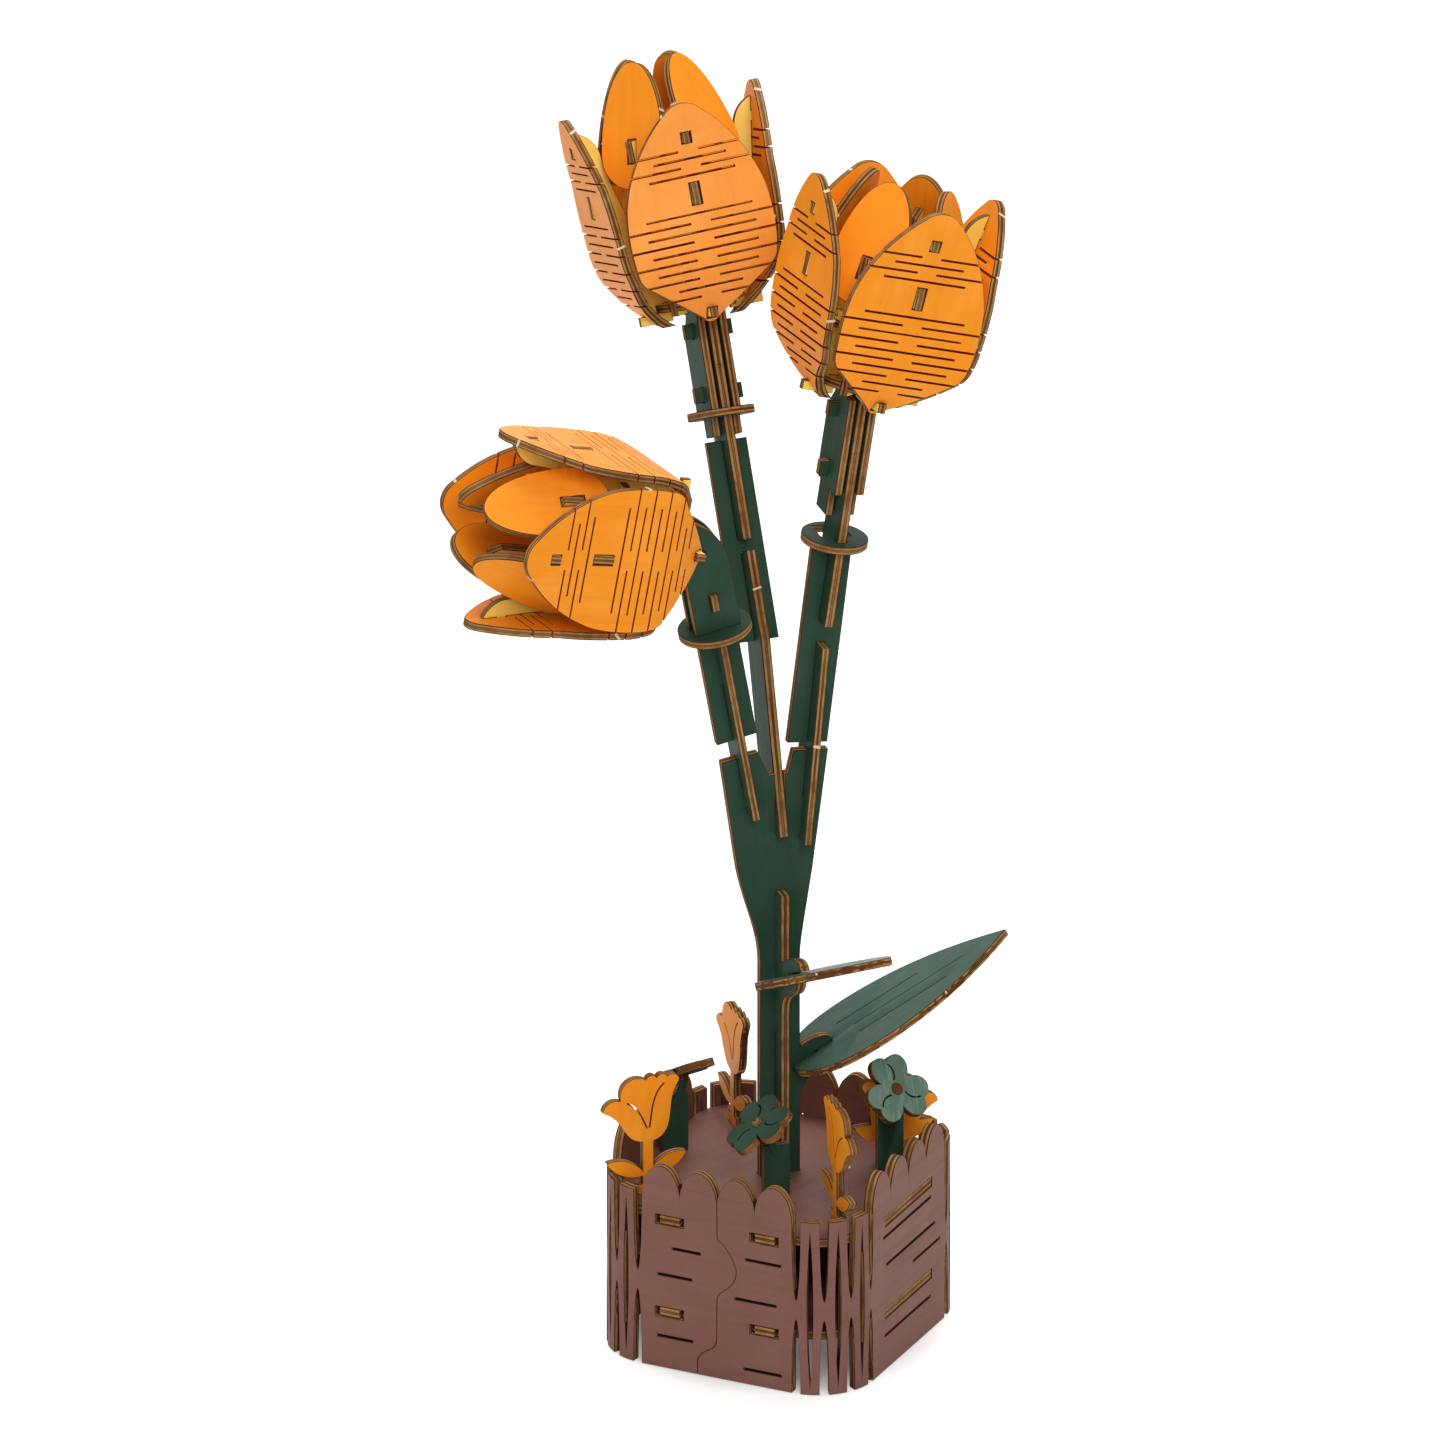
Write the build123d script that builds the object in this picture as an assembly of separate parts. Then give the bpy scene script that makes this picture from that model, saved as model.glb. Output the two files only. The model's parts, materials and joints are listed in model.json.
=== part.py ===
import os
from math import sin, cos, tan, atan2, asin, hypot, radians, degrees, sqrt
from build123d import *

os.makedirs("parts", exist_ok=True)

# Sheet and fit sizes (mm)
ply = 3.0            # thick sheet: stems, tongues, pot
thin = 2.4           # thin sheet: petals, ribs, cheeks, collars
fit = 0.1            # play on each side of a slot
kerf = 0.5           # width of a laser slit
slide_fit = 0.2      # play of a sliding collar

# Pot
panel_w = 48.8       # flat part of a wall
corner_r = 18.0      # outside radius of a slatted corner
wall_z = 54.7        # bottom of the scallop valleys
scallop_h = 10.3
scallops = 4
slat_w = 5.75
slat_top = 55.7
slats = 3
bridge_z = (24.0, 30.0)
lens_z = (1.8, 53.2)
lens_w = 1.9
soil_z = 47.75       # middle of the soil plate
base_z = 18.0        # middle of the base plate
long_slot = 32.0
short_slot = 9.4
short_slot_x = 15.4
short_tenon = 6.2
seam_knob = 6.3
seam_gap = 0.15
slit_w = 1.0
pot_turn = -45.0     # corners point along X and Y

# Trunk
trunk_half = 6.2
trunk_lap = 95.0     # half-lap height of the two trunk plates
cross_top = 141.0
cross_half = 6.0
arm_z = 185.0        # top of the branching fan
notch_z = arm_z - 6.4
fan_drop = 33.0      # from the fan's top to the end of its curved sides

# Leaves
leaf_len = 74.5
leaf_w = 31.0
leaf_tilt = 26.5
leaf_start = 5.2     # from the trunk axis to the leaf's base
leaf_right_z = 80.2  # where the leaf's plane meets the trunk axis
leaf_front_z = 111.0
right_hook = (13.5, 16.7, 11.0)   # reach of the arm, of the tab, and where the leaf laps it
front_hook = (20.8, 23.6, 14.5)
hook_drop = 11.0     # height of the arm's foot below the leaf
tab_h = 5.6          # height of the tab over the leaf's middle
front_leaf_turn = 9.0
leaf_play = 0.5      # width the leaf slot has over the hook sheet
turn_play = 2.0      # the same for the front leaf, which sits turned on its hook
leaf_grip = 0.3      # play of the leaf between arm and tab

# Flower heads: base point, axis, turn about the axis
mid_base = Vector(-1.4, 64.0, arm_z + 115.6)
mid_shift = -0.4     # the middle stem sits this far left of the trunk
mid_axis = Vector(-0.073, 0.385, 0.92)
mid_turn = -5.8
right_base = Vector(25.1, 0, arm_z + 112.6)
right_axis = Vector(0.294, 0.137, 0.946)
right_turn = 1.9
left_base_turn = 5.1
left_axis = Vector(-0.969, -0.074, 0.234)

# Stems
mid_lean = 28.5
right_pivot = Vector(12.9, 0, arm_z + 37.0)   # where rib, flange and tongue meet
right_rib_lean = 5.1
right_flange_lean = 7.1
right_lean = 8.7
left_lean = 10.1
left_collar_at = Vector(-19.9, 0, arm_z + 43.6)
flange_half = 6.25
tongue_half = 6.0
mid_flange = (-98.5, -38.8)
mid_bridge = (-72.2, -68.7)
right_flange = (-34.8, 28.6)
right_bridge = (-2.7, 4.1)
right_foot = -65.7
left_foot = -62.6
left_flange_foot = -37.2
mid_lap = notch_z - 10.6
mid_foot = (1.3, mid_lap - 10.0)      # Y, Z of the leaning rib's lower end
mid_kink = (17.8, mid_lap + 47.5)
seam_z = -16.6       # head core butts the stem tongue here
collar_r = 10.0
left_collar_r = 11.0
cheek_gap = 0.7      # between a tongue and the cheeks beside it
cheek_x = ply / 2 + cheek_gap + thin / 2
right_cheek = (-30.0, -38.5, 10.0, (-1.0, 6.8), 3.0)
mid_cheek = (-29.5, -37.5, 9.0, (-3.5, 3.5), 0.0)
cheek_chamfer = (5.0, 7.6)
collar_rest = 0.3
core_top = 7.0
core_shoulder = 0.2
core_tenon = 4.0
pegs_z = ((-8.0, -3.5), (-27.0, -22.5))
peg_out = 2.8
elbow_turn = 66.0
elbow_r = 11.35
elbow_start = 21.9
elbow_cheek_half = 7.0

# Outer petal: radius and height of its slots, tip and bottom
petal_low = (15.5, 0.0)
petal_mid = (26.3, 36.3)
petal_tip_z = 63.5
petal_slope = 4.0    # lean of the straight middle part
petal_tip_slope = 9.7
petal_kink_z = 42.0
petal_foot_slope = 45.0
petal_top_slot = 53.1
petal_stations = ((63.5, 0.0), (61.2, 5.4), (48.9, 15.7), (35.5, 21.2), (25.0, 22.1),
                  (15.0, 21.2), (12.6, 20.2), (10.6, 18.1), (-1.4, 2.3), (-2.8, 0.0))   # height, half width
row_gap = 3.15       # half of the land between two side slits
row_edge = 5.5       # land at each end of a centred slit
low_rows = (30.4, 2.75, 10)
high_rows = (49.3, 2.5, 4)
slot_w = thin + 2 * fit
petal_slot = thin + 0.9  # a petal's slots are wider than the tenons in them

# Inner petal and hubs
inner_up = 26.0      # length above the slot
inner_down = 12.0
inner_w = 22.5
inner_at = (16.4, 51.0)
inner_lean = 17.5
inner_slide = {"mid": 0.5, "right": -10.5, "left": -7.5}
inner_turn = {"mid": -4.0, "right": 0.0, "left": 0.0}
low_hub = (2.0, 13.6, 11.0)   # height, radius, depth to which a slot runs
top_hub = (20.0, 17.0, 13.2)
rib_in = 8.0
rib_top = 59.0       # upper end of an outer rib
rib_bulge = 6.6      # how far it stands in from the petal there

parts = {}


def put(name, *solids):
    found = []
    for item in solids:
        found.extend(item.solids())
    parts[name] = found


def block(x0, x1, y0, y1, z0, z1):
    size = Box(x1 - x0, y1 - y0, z1 - z0)
    return Pos((x0 + x1) / 2, (y0 + y1) / 2, (z0 + z1) / 2) * size


def sheet(face, plane, thick):
    return extrude(plane * face, amount=thick / 2, both=True)


def outline(*edges):
    return make_face(Curve() + list(edges))


# Pot walls: scalloped panels, slatted living-hinge corners and a jigsaw seam
half_pot = panel_w / 2 + corner_r
inside = half_pot - ply
front_slits = ((-14.6, -5.3, 39.0), (-19.4, -8.0, 30.0), (-19.4, -7.7, 10.1),
               (9.3, 20.9, 40.2), (5.8, 19.4, 26.9), (8.8, 21.1, 4.7))
side_slits = ((-17.4, 15.4, 43.0), (-15.4, 17.9, 33.7), (3.0, 21.4, 27.2), (-16.4, 14.9, 11.0))


def panel(slits, slots):
    face = Pos(0, wall_z / 2) * Rectangle(panel_w, wall_z)
    step = panel_w / scallops
    for i in range(scallops):
        x = -panel_w / 2 + step * (i + 0.5)
        face += Pos(x, wall_z) * Ellipse(step / 2, scallop_h)
    for x0, x1, z in slits:
        face -= Pos((x0 + x1) / 2, z) * Rectangle(x1 - x0, slit_w)
    for x, w in slots:
        for z in (soil_z, base_z):
            face -= Pos(x, z) * Rectangle(w, ply + 2 * fit)
    flat = Plane(origin=(0, -half_pot + ply / 2, 0), x_dir=(1, 0, 0), z_dir=(0, -1, 0))
    return sheet(face, flat, ply)


def lens(length, width):
    right_arc = ThreePointArc((0, -length / 2), (width / 2, 0), (0, length / 2))
    left_arc = ThreePointArc((0, length / 2), (-width / 2, 0), (0, -length / 2))
    return outline(right_arc, left_arc)


def corner():
    # A quarter ring cut into slats by lens slots and by gaps that taper to the middle band
    gap = (corner_r * radians(90) - slats * slat_w) / (slats + 1)
    ring = Circle(corner_r) - Circle(corner_r - ply)
    ring &= Pos(corner_r, -corner_r) * Rectangle(2 * corner_r, 2 * corner_r)
    body = extrude(ring, amount=slat_top)
    slot = Pos(0, (lens_z[0] + lens_z[1]) / 2) * lens(lens_z[1] - lens_z[0], lens_w)
    taper = Pos(0, slat_top) * Ellipse(gap / 2, slat_top - bridge_z[1])
    taper += Ellipse(gap / 2, bridge_z[0])
    flat = Plane(origin=(corner_r - ply / 2, 0, 0), x_dir=(0, 1, 0), z_dir=(1, 0, 0))
    slot_cut = sheet(slot, flat, 3 * ply)
    gap_cut = sheet(taper, flat, 3 * ply)
    cuts = []
    for i in range(slats + 1):
        along = gap * (i + 0.5) + slat_w * i
        cuts.append(Rot(0, 0, -90 + degrees(along / corner_r)) * gap_cut)
        if i < slats:
            middle = along + (gap + slat_w) / 2
            cuts.append(Rot(0, 0, -90 + degrees(middle / corner_r)) * slot_cut)
    return Pos(panel_w / 2, -panel_w / 2) * (body - cuts)


def seam_region(shift):
    top = wall_z + 2 * scallop_h
    edges = [
        Line((-seam_knob, -1), (-seam_knob, 3.5)),
        Spline((-seam_knob, 3.5), (-seam_knob * 0.82, 6.7), (-seam_knob * 0.35, 8.9), (0, 15),
               tangents=((0, 1), (0, 1))),
        Line((0, 15), (0, 25)),
        Spline((0, 25), (seam_knob * 0.2, 27.8), (seam_knob * 0.75, 31.0), (seam_knob, 35.2),
               (seam_knob * 0.75, 39.8), (seam_knob * 0.2, 44.2), (0, 49), tangents=((0, 1), (0, 1))),
        Polyline((0, 49), (0, top), (-panel_w, top), (-panel_w, -1), (-seam_knob, -1)),
    ]
    flat = Plane(origin=(shift, -half_pot + ply / 2, 0), x_dir=(1, 0, 0), z_dir=(0, -1, 0))
    return sheet(outline(*edges), flat, 3 * ply)


def wall_half():
    short = ((-short_slot_x, short_slot), (short_slot_x, short_slot))
    front = panel(front_slits, short)
    knob_side = front & seam_region(0)
    socket_side = front - seam_region(seam_gap)
    body = knob_side + Rot(0, 0, -90) * panel(side_slits, ((0, long_slot),))
    body += Rot(0, 0, 180) * socket_side
    body += Rot(0, 0, -90) * corner()
    body += Rot(0, 0, 180) * corner()
    return body


wall = wall_half()
pot_loc = Rot(0, 0, pot_turn)
put("pot_wall_left", pot_loc * wall)
put("pot_wall_right", pot_loc * Rot(0, 0, 180) * wall)


def pot_plate(z):
    reach = inside - slide_fit
    face = RectangleRounded(2 * reach, 2 * reach, corner_r - ply - slide_fit)
    depth = 2 * (half_pot - 0.3)
    face += Rectangle(depth, long_slot - 2 * fit)
    for x in (-short_slot_x, short_slot_x):
        face += Pos(x, 0) * Rectangle(short_tenon, depth)
    return pot_loc * Pos(0, 0, z - ply / 2) * extrude(face, amount=ply)


# Stem frames: x across the flange, y across the tongue, z up the stem
mid_w = Vector(0, sin(radians(mid_lean)), cos(radians(mid_lean)))


def lean_frame(origin, lean):
    a = radians(lean)
    return Plane(origin=origin, x_dir=(cos(a), 0, -sin(a)), z_dir=(sin(a), 0, cos(a))).location


right_reach = (right_base.Z - right_pivot.Z) / cos(radians(right_lean))
right_rib_loc = lean_frame(right_pivot, right_rib_lean)
right_flange_loc = lean_frame(right_pivot, right_flange_lean)
right_loc = lean_frame(right_pivot, right_lean) * Pos(0, 0, right_reach)
mid_loc = Plane(origin=(mid_shift, mid_base.Y, mid_base.Z), x_dir=(1, 0, 0), z_dir=mid_w).location
left_loc = lean_frame(left_collar_at, -left_lean)


# Trunk: two plates half-lapped in a cross, the main one fanning out to three arms
def hook(z_axis, root, spec):
    # Arm below the leaf and tab above it, notched where the leaf laps them
    arm, tab, lap = spec

    def middle(x):
        return z_axis + x * tan(radians(leaf_tilt))

    foot = (root, middle(root) - hook_drop)
    over = (root, middle(root) + tab_h)
    edges = [
        Spline(foot, (arm, middle(arm)), tangents=((0, 1), (0, 1))),
        Line((arm, middle(arm)), (tab, middle(tab))),
        Spline((tab, middle(tab)), (tab - 1.0, middle(tab) + 2.6),
               (tab - 5.0, middle(tab - 5) + tab_h), over),
        Line(over, foot),
    ]
    notch = Pos(lap / cos(radians(leaf_tilt)) + 20 - leaf_grip, 0) * Rectangle(40, thin + 2 * leaf_grip)
    return outline(*edges) - Pos(0, z_axis) * Rot(0, 0, leaf_tilt) * notch


def main_face():
    foot = base_z + ply / 2 + fit
    left_top = (-18.3, arm_z)
    right_top = (15.0, arm_z - 0.5)
    fan = arm_z - fan_drop
    neck = fan - 34
    edges = [
        Polyline((-trunk_half, neck), (-trunk_half, foot), (trunk_half, foot), (trunk_half, neck)),
        Spline((trunk_half, neck), (7.0, neck + 9), (10.8, fan), tangents=((0, 1), (0.12, 1))),
        Polyline((10.8, fan), right_top, (4.2, arm_z + 0.6), (2.5, notch_z),
                 (-3.4, notch_z), (-6.8, arm_z + 1.6), left_top, (-13.6, fan)),
        Spline((-13.6, fan), (-7.5, neck + 10), (-trunk_half, neck), tangents=((0.14, -1), (0, -1))),
    ]
    face = outline(*edges) + hook(leaf_right_z, trunk_half, right_hook)
    face += Pos(0, base_z) * Rectangle(2 * core_tenon, 3 * ply)
    face -= Pos(0, trunk_lap / 2) * Rectangle(ply + 2 * fit, trunk_lap + 2 * fit)
    face -= Pos(0, mid_lap + 15) * Rectangle(ply + 2 * fit, 30)
    return face


right_lap = (right_foot + (arm_z - right_pivot.Z) / cos(radians(right_rib_lean))) / 2
left_lap = (left_foot - 44.3) / 2
main = sheet(main_face(), Plane.XZ, ply)
half_slot = thin / 2 + fit
main -= right_rib_loc * block(-half_slot, half_slot, -9, 9, right_lap - fit, right_lap + 30)
main -= left_loc * block(-half_slot, half_slot, -9, 9, left_lap - fit, left_lap + 30)
put("main_stem", main)

cross_foot = base_z + ply / 2 + fit
cross_face = Pos(0, (cross_foot + cross_top) / 2) * Rectangle(2 * cross_half, cross_top - cross_foot)
cross_face += Pos(0, base_z) * Rectangle(2 * core_tenon, 3 * ply)
cross_face += hook(leaf_front_z, cross_half, front_hook)
cross_face -= Pos(0, trunk_lap + 40) * Rectangle(ply + 2 * fit, 80 - 2 * fit)
front_plane = Plane(origin=(0, 0, 0), x_dir=(0, -1, 0), z_dir=(-1, 0, 0))
cross = sheet(cross_face, front_plane, ply)
put("cross_stem", cross)

# Soil and base plates, pierced for the trunk
trunk_hole = Box(2 * (trunk_half + fit), ply + 2 * fit, 80)
trunk_hole += Box(ply + 2 * fit, 2 * (cross_half + fit), 80)
tenon_hole = Box(2 * (core_tenon + fit), ply + 2 * fit, 80)
tenon_hole += Box(ply + 2 * fit, 2 * (core_tenon + fit), 80)
soil = pot_plate(soil_z) - Pos(0, 0, soil_z) * trunk_hole
base = pot_plate(base_z) - Pos(0, 0, base_z) * tenon_hole
put("base_plate", base)


# Leaves on hooks
def leaf(lap, play):
    end = leaf_start + leaf_len
    half = leaf_w / 2
    top = Spline((leaf_start, 5.5), (leaf_start + 5.2, half - 4.4), (leaf_start + 11, half - 1.7),
                 (leaf_start + 23, half), (leaf_start + 48, half - 3.4), (end, 0))
    low = mirror(top, about=Plane.XZ)
    back = ThreePointArc((leaf_start, 5.5), (leaf_start - 0.6, 0), (leaf_start, -5.5))
    face = outline(top, low, back)
    slot_end = lap / cos(radians(leaf_tilt)) + thin * tan(radians(leaf_tilt)) + fit
    face -= Pos(slot_end / 2, 0) * Rectangle(slot_end, ply + play)
    body = sheet(face, Plane.XY, thin)
    for x, y, length in ((46, 0, 38), (37, 5.5, 28), (42, -5.0, 30)):
        body -= Pos(x, y, thin / 2) * Box(length, kerf, 0.8)
    return body


put("leaf_right", Pos(0, 0, leaf_right_z) * Rot(0, -leaf_tilt, 0) * leaf(right_hook[2], leaf_play))
front_post = (leaf_start + front_hook[2]) / 2
turned = Pos(0, -front_post, leaf_front_z) * Rot(0, 0, front_leaf_turn) * Pos(0, front_post, 0)
put("leaf_front", turned * Rot(0, 0, -90) * Rot(0, -leaf_tilt, 0) * leaf(front_hook[2], turn_play))

# Flat tulips at the pot corners
bloom_z = 65.8
low_bloom_z = 54.8
flower_top = soil_z + ply / 2


def flower(bloom):
    edges = [
        Spline((0, 0), (-5.2, 1.6), (-8.4, 6.0), (-14.2, 11.2), tangents=((-1, 0), (-1, 0.5))),
        ThreePointArc((-14.2, 11.2), (-12.2, 14.0), (-8.4, 14.0)),
        ThreePointArc((-8.4, 14.0), (-5.8, 20.4), (-0.6, 19.9)),
        ThreePointArc((-0.6, 19.9), (1.1, 21.2), (2.7, 20.1)),
        ThreePointArc((2.7, 20.1), (4.4, 21.3), (6.0, 20.2)),
        ThreePointArc((6.0, 20.2), (8.3, 20.6), (9.7, 18.9)),
        Spline((9.7, 18.9), (7.6, 14.0), (6.6, 6.2), (0, 0), tangents=((-0.5, -1), (-1, 0))),
    ]
    face = outline(*edges)
    face -= trace(Spline((-6.6, 13.2), (-4.6, 11.9), (-2.2, 8.6), (-0.4, 4.4)), kerf)
    face -= trace(Spline((5.0, 18.2), (2.9, 15.6), (1.4, 11.0), (0.4, 4.4)), kerf)
    face = Pos(0, bloom) * face
    face += Pos(0, (flower_top + bloom) / 2 + 0.4) * Rectangle(3.3, bloom - flower_top + 0.8)
    for x, z, turn, length in ((-6.9, 8.5, 66, 13.0), (6.4, 9.2, -66, 12.0)):
        face += Pos(x, flower_top + z) * Rot(0, 0, turn) * lens(length, 4.6)
    face += Pos(0, flower_top + 1.5) * Rectangle(7, 3)
    face += Pos(0, soil_z) * Rectangle(5, ply)
    return sheet(face, Plane.XZ, thin)


flower_slot = Box(5 + 2 * fit, thin + 2 * fit, 4 * ply)
corner_at = half_pot * sqrt(2) - corner_r * (sqrt(2) - 1)    # pot corner from the middle
flower_spots = {"flower_left": (11.4 - corner_at, 0, 0, bloom_z),
                "flower_right": (corner_at - 18.0, -2, 180, low_bloom_z),
                "flower_back": (-0.5, corner_at - 16.5, -90, bloom_z),
                "flower_front": (5, 14.0 - corner_at, 90, bloom_z)}
for name, (x, y, turn, bloom) in flower_spots.items():
    loc = Pos(x, y, 0) * Rot(0, 0, turn)
    put(name, loc * flower(bloom))
    soil -= loc * Pos(0, 0, soil_z) * flower_slot


# Clovers: a three-lobed head pegged on a flat stem
def clover_head():
    valley = (5.0 * sin(radians(60)), 5.0 * cos(radians(60)))
    side = Spline(valley, (5.9, 4.7), (6.2, 7.2), (4.8, 9.7), (2.6, 10.3), (0, 9.1))
    edges = []
    vein = trace(ThreePointArc((0, 2.8), (0.9, 5.2), (-0.2, 8.0)), kerf)
    veins = []
    for i in range(3):
        turn = Rot(0, 0, 120 * i)
        edges += [turn * side, turn * mirror(side, about=Plane.YZ)]
        veins.append(turn * vein)
    return sheet(outline(*edges) - Circle(1.8) - veins, Plane.XY, thin)


clover_body = clover_head()
peg = Pos(0, 0, -0.6) * Cylinder(1.7, 4.2)
clover_spots = {"clover_front": ((-8, 32.5 - corner_at), 4, (-5.0, 75.0), -176, 54, 0),
                "clover_right": ((corner_at - 22.5, -13), 4, (1.8, 76.3), -72, 38, 58),
                "clover_back": ((18.4 - half_pot, half_pot - 18.4), 4, (2.0, 74.5), 103, 58, 75)}
clover_stems = []
for name, ((x, y), half, (dx, top), azimuth, tilt, spin) in clover_spots.items():
    n = Vector(cos(radians(tilt)) * cos(radians(azimuth)),
               cos(radians(tilt)) * sin(radians(azimuth)), sin(radians(tilt)))
    side = Vector(sin(radians(azimuth)), -cos(radians(azimuth)), 0)
    centre = Vector(x + dx, y, top)
    head = Plane(origin=centre, x_dir=side, z_dir=n).location
    put(name, head * Rot(0, 0, spin) * clover_body)
    neck = centre - n * (thin / 2 + 1.0)
    foot = (flower_top, neck.Z - 5)
    face = Pos(0, (foot[0] + foot[1]) / 2) * Rectangle(2 * half, foot[1] - foot[0])
    face += Pos(0, soil_z) * Rectangle(5, ply)
    blade = sheet(face, Plane(origin=(x, y, 0), x_dir=(1, 0, 0), z_dir=(0, -1, 0)), thin)
    low = Vector(x, y, foot[1] - 2.5)
    reach = neck - low
    rod = Plane(origin=low + reach * 0.5, z_dir=reach).location * Box(thin, 3, reach.length + 1)
    clover_stems.append(blade + rod + head * peg)
    soil -= Pos(x, y, soil_z) * flower_slot
put("clover_stems", *clover_stems)
put("soil_plate", soil)


# Head pieces in a frame whose z runs up the flower's axis
rise_r = petal_mid[0] - petal_low[0]
rise_z = petal_mid[1] - petal_low[1]
up = radians(petal_slope)
foot_up = radians(petal_foot_slope)
bend_r = (rise_r - rise_z * tan(up)) / (cos(up) - cos(foot_up) - tan(up) * (sin(foot_up) - sin(up)))
bend_x = petal_low[0] - bend_r * cos(foot_up)
bend_z = petal_low[1] + bend_r * sin(foot_up)
knee_r = bend_x + bend_r * cos(up)
knee_z = bend_z - bend_r * sin(up)
tip_up = radians(petal_tip_slope)
kink_r = knee_r + (petal_kink_z - knee_z) * tan(up)


def petal_point(z, inset):
    # Radius of the bent petal's section at a height, moved inwards by inset
    if z >= knee_z + inset * sin(up):
        middle = knee_r + (z - knee_z) * tan(up) - inset / cos(up)
        return max(middle, kink_r + (z - petal_kink_z) * tan(tip_up) - inset / cos(tip_up))
    turn = asin((bend_z - z) / (bend_r - inset))
    return bend_x + (bend_r - inset) * cos(turn)


def bend_line(z0, z1, inset):
    # Arc up to the knee, then two straight runs, from z0 up to z1
    knee = (knee_r - inset * cos(up), knee_z + inset * sin(up))
    half = (z0 + knee[1]) / 2
    start = (petal_point(z0, inset), z0)
    arc = ThreePointArc(start, (petal_point(half, inset), half), knee)
    kink_z = petal_kink_z + inset * (1 / cos(tip_up) - 1 / cos(up)) / (tan(tip_up) - tan(up))
    kink = (petal_point(kink_z, inset), kink_z)
    return [arc, Line(knee, kink), Line(kink, (petal_point(z1, inset), z1))]


def half_width(z):
    for (za, wa), (zb, wb) in zip(petal_stations, petal_stations[1:]):
        if zb <= z <= za:
            return wb + (wa - wb) * (z - zb) / (za - zb)
    return 0.0


def slit(y0, y1, z):
    r = petal_point(z, 0)
    return block(r - 6, r + 4, y0, y1, z - kerf / 2, z + kerf / 2)


def petal():
    outer = bend_line(-5.0, petal_tip_z + 4, 0)
    inner = bend_line(-5.0, petal_tip_z + 4, thin)
    foot = Line(outer[0] @ 0, inner[0] @ 0)
    head = Line(outer[2] @ 1, inner[2] @ 1)
    widest = max(w for z, w in petal_stations)
    bent = sheet(outline(*outer, head, *inner, foot), Plane.XZ, 3 * widest)
    points = [(w, z) for z, w in petal_stations]
    right = [ThreePointArc(*points[i:i + 3]) for i in (1, 3, 5)] + [Line(points[7], points[8])]
    left = [mirror(edge, about=Plane.YZ) for edge in right]
    tip = ThreePointArc((-points[1][0], points[1][1]), points[0], points[1])
    toe = ThreePointArc((-points[8][0], points[8][1]), points[9], points[8])
    front = Plane(origin=(0, 0, 0), x_dir=(0, 1, 0), z_dir=(1, 0, 0))
    shape = extrude(front * outline(tip, *right, toe, *left), amount=60)
    body = bent & shape
    cuts = []
    for z, h in ((petal_low[1], 3.5), (petal_mid[1], 7.0), (petal_top_slot, 3.5)):
        cuts.append(Pos(petal_point(z, 0), 0, z) * Box(12, petal_slot, h))
    for first, step, count in (low_rows, high_rows):
        for i in range(count):
            z = first - step * i
            w = half_width(z)
            side_row = (i % 2 == 1) if count > 5 else (i % 2 == 0)
            if side_row:
                cuts.append(slit(row_gap, w + 4, z))
                cuts.append(slit(-w - 4, -row_gap, z))
            else:
                cuts.append(slit(row_edge - w, w - row_edge, z))
    return body - cuts


def outer_rib():
    skin = thin + fit
    edge = bend_line(0.5, rib_top, skin)
    top = edge[2] @ 1
    low = edge[0] @ 0
    belly = (top.X - rib_bulge, rib_top - 9.0)
    inner = [ThreePointArc((top.X, top.Y), (top.X - 0.72 * rib_bulge, rib_top - 3.2), belly),
             ThreePointArc(belly, (16.4, 32.0), (rib_in, 12.0)),
             Polyline((rib_in, 12.0), (rib_in, 0.5), (low.X, low.Y))]
    face = outline(*edge, *inner)
    for z, h, out in ((petal_low[1] + 0.3, 2.8, 3.0), (petal_mid[1], 6.6, 0.3), (petal_top_slot, 3.1, 0.3)):
        r = petal_point(z, 0)
        face += Pos(r - 3.5 + out / 2, z) * Rectangle(7 + out, h)
    for z, radius, depth in (low_hub, top_hub):
        face -= Pos(depth - 5, z + thin / 2) * Rectangle(10 + 2 * fit, slot_w)
    return sheet(face, Plane.XZ, thin)


def inner_petal(slide):
    lean = radians(inner_lean)
    r = inner_at[0] - slide * sin(lean)
    z = inner_at[1] + slide * cos(lean)
    flat = Plane(origin=(r, 0, z), x_dir=(0, 1, 0), z_dir=(cos(lean), 0, sin(lean)))
    half = inner_w / 2
    face = Ellipse(half, inner_up) & Pos(0, inner_up / 2) * Rectangle(inner_w, inner_up)
    face += Ellipse(half, inner_down) & Pos(0, -inner_down / 2) * Rectangle(inner_w, inner_down)
    body = sheet(face, flat, thin)
    return body - Pos(r, 0, z - 0.4) * Box(12, petal_slot, 7)


def inner_rib(slide):
    back = thin / 2 / cos(radians(inner_lean)) + 2 * fit

    def face_r(z):
        return inner_at[0] - (z - inner_at[1]) * tan(radians(inner_lean)) - back

    face = Polygon((rib_in, 0.5), (12.8, 0.5), (13.6, 12), (face_r(34), 34), (face_r(56), 56),
                   (face_r(53) - 4.5, 53), (face_r(36) - 9, 36), (rib_in, 14), align=None)
    z = inner_at[1] + slide * cos(radians(inner_lean)) - 0.4
    face += Pos(face_r(z) + 0.6, z) * Rectangle(6, 6.4)
    for z, radius, depth in (low_hub, top_hub):
        face -= Pos(depth - 5, z + thin / 2) * Rectangle(10 + 2 * fit, slot_w)
    return sheet(face, Plane.XZ, thin)


def hub(spec, hole, turn):
    z, radius, depth = spec
    face = Circle(radius) - Circle(hole)
    for i in range(4):
        cut = Pos(depth + 5 - fit, 0) * Rectangle(10, slot_w)
        face -= [Rot(0, 0, 90 * i) * cut, Rot(0, 0, 90 * i + 45 + turn) * cut]
    return Pos(0, 0, z) * extrude(face, amount=thin)


petal_body = petal()
outer_rib_body = outer_rib()


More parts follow.
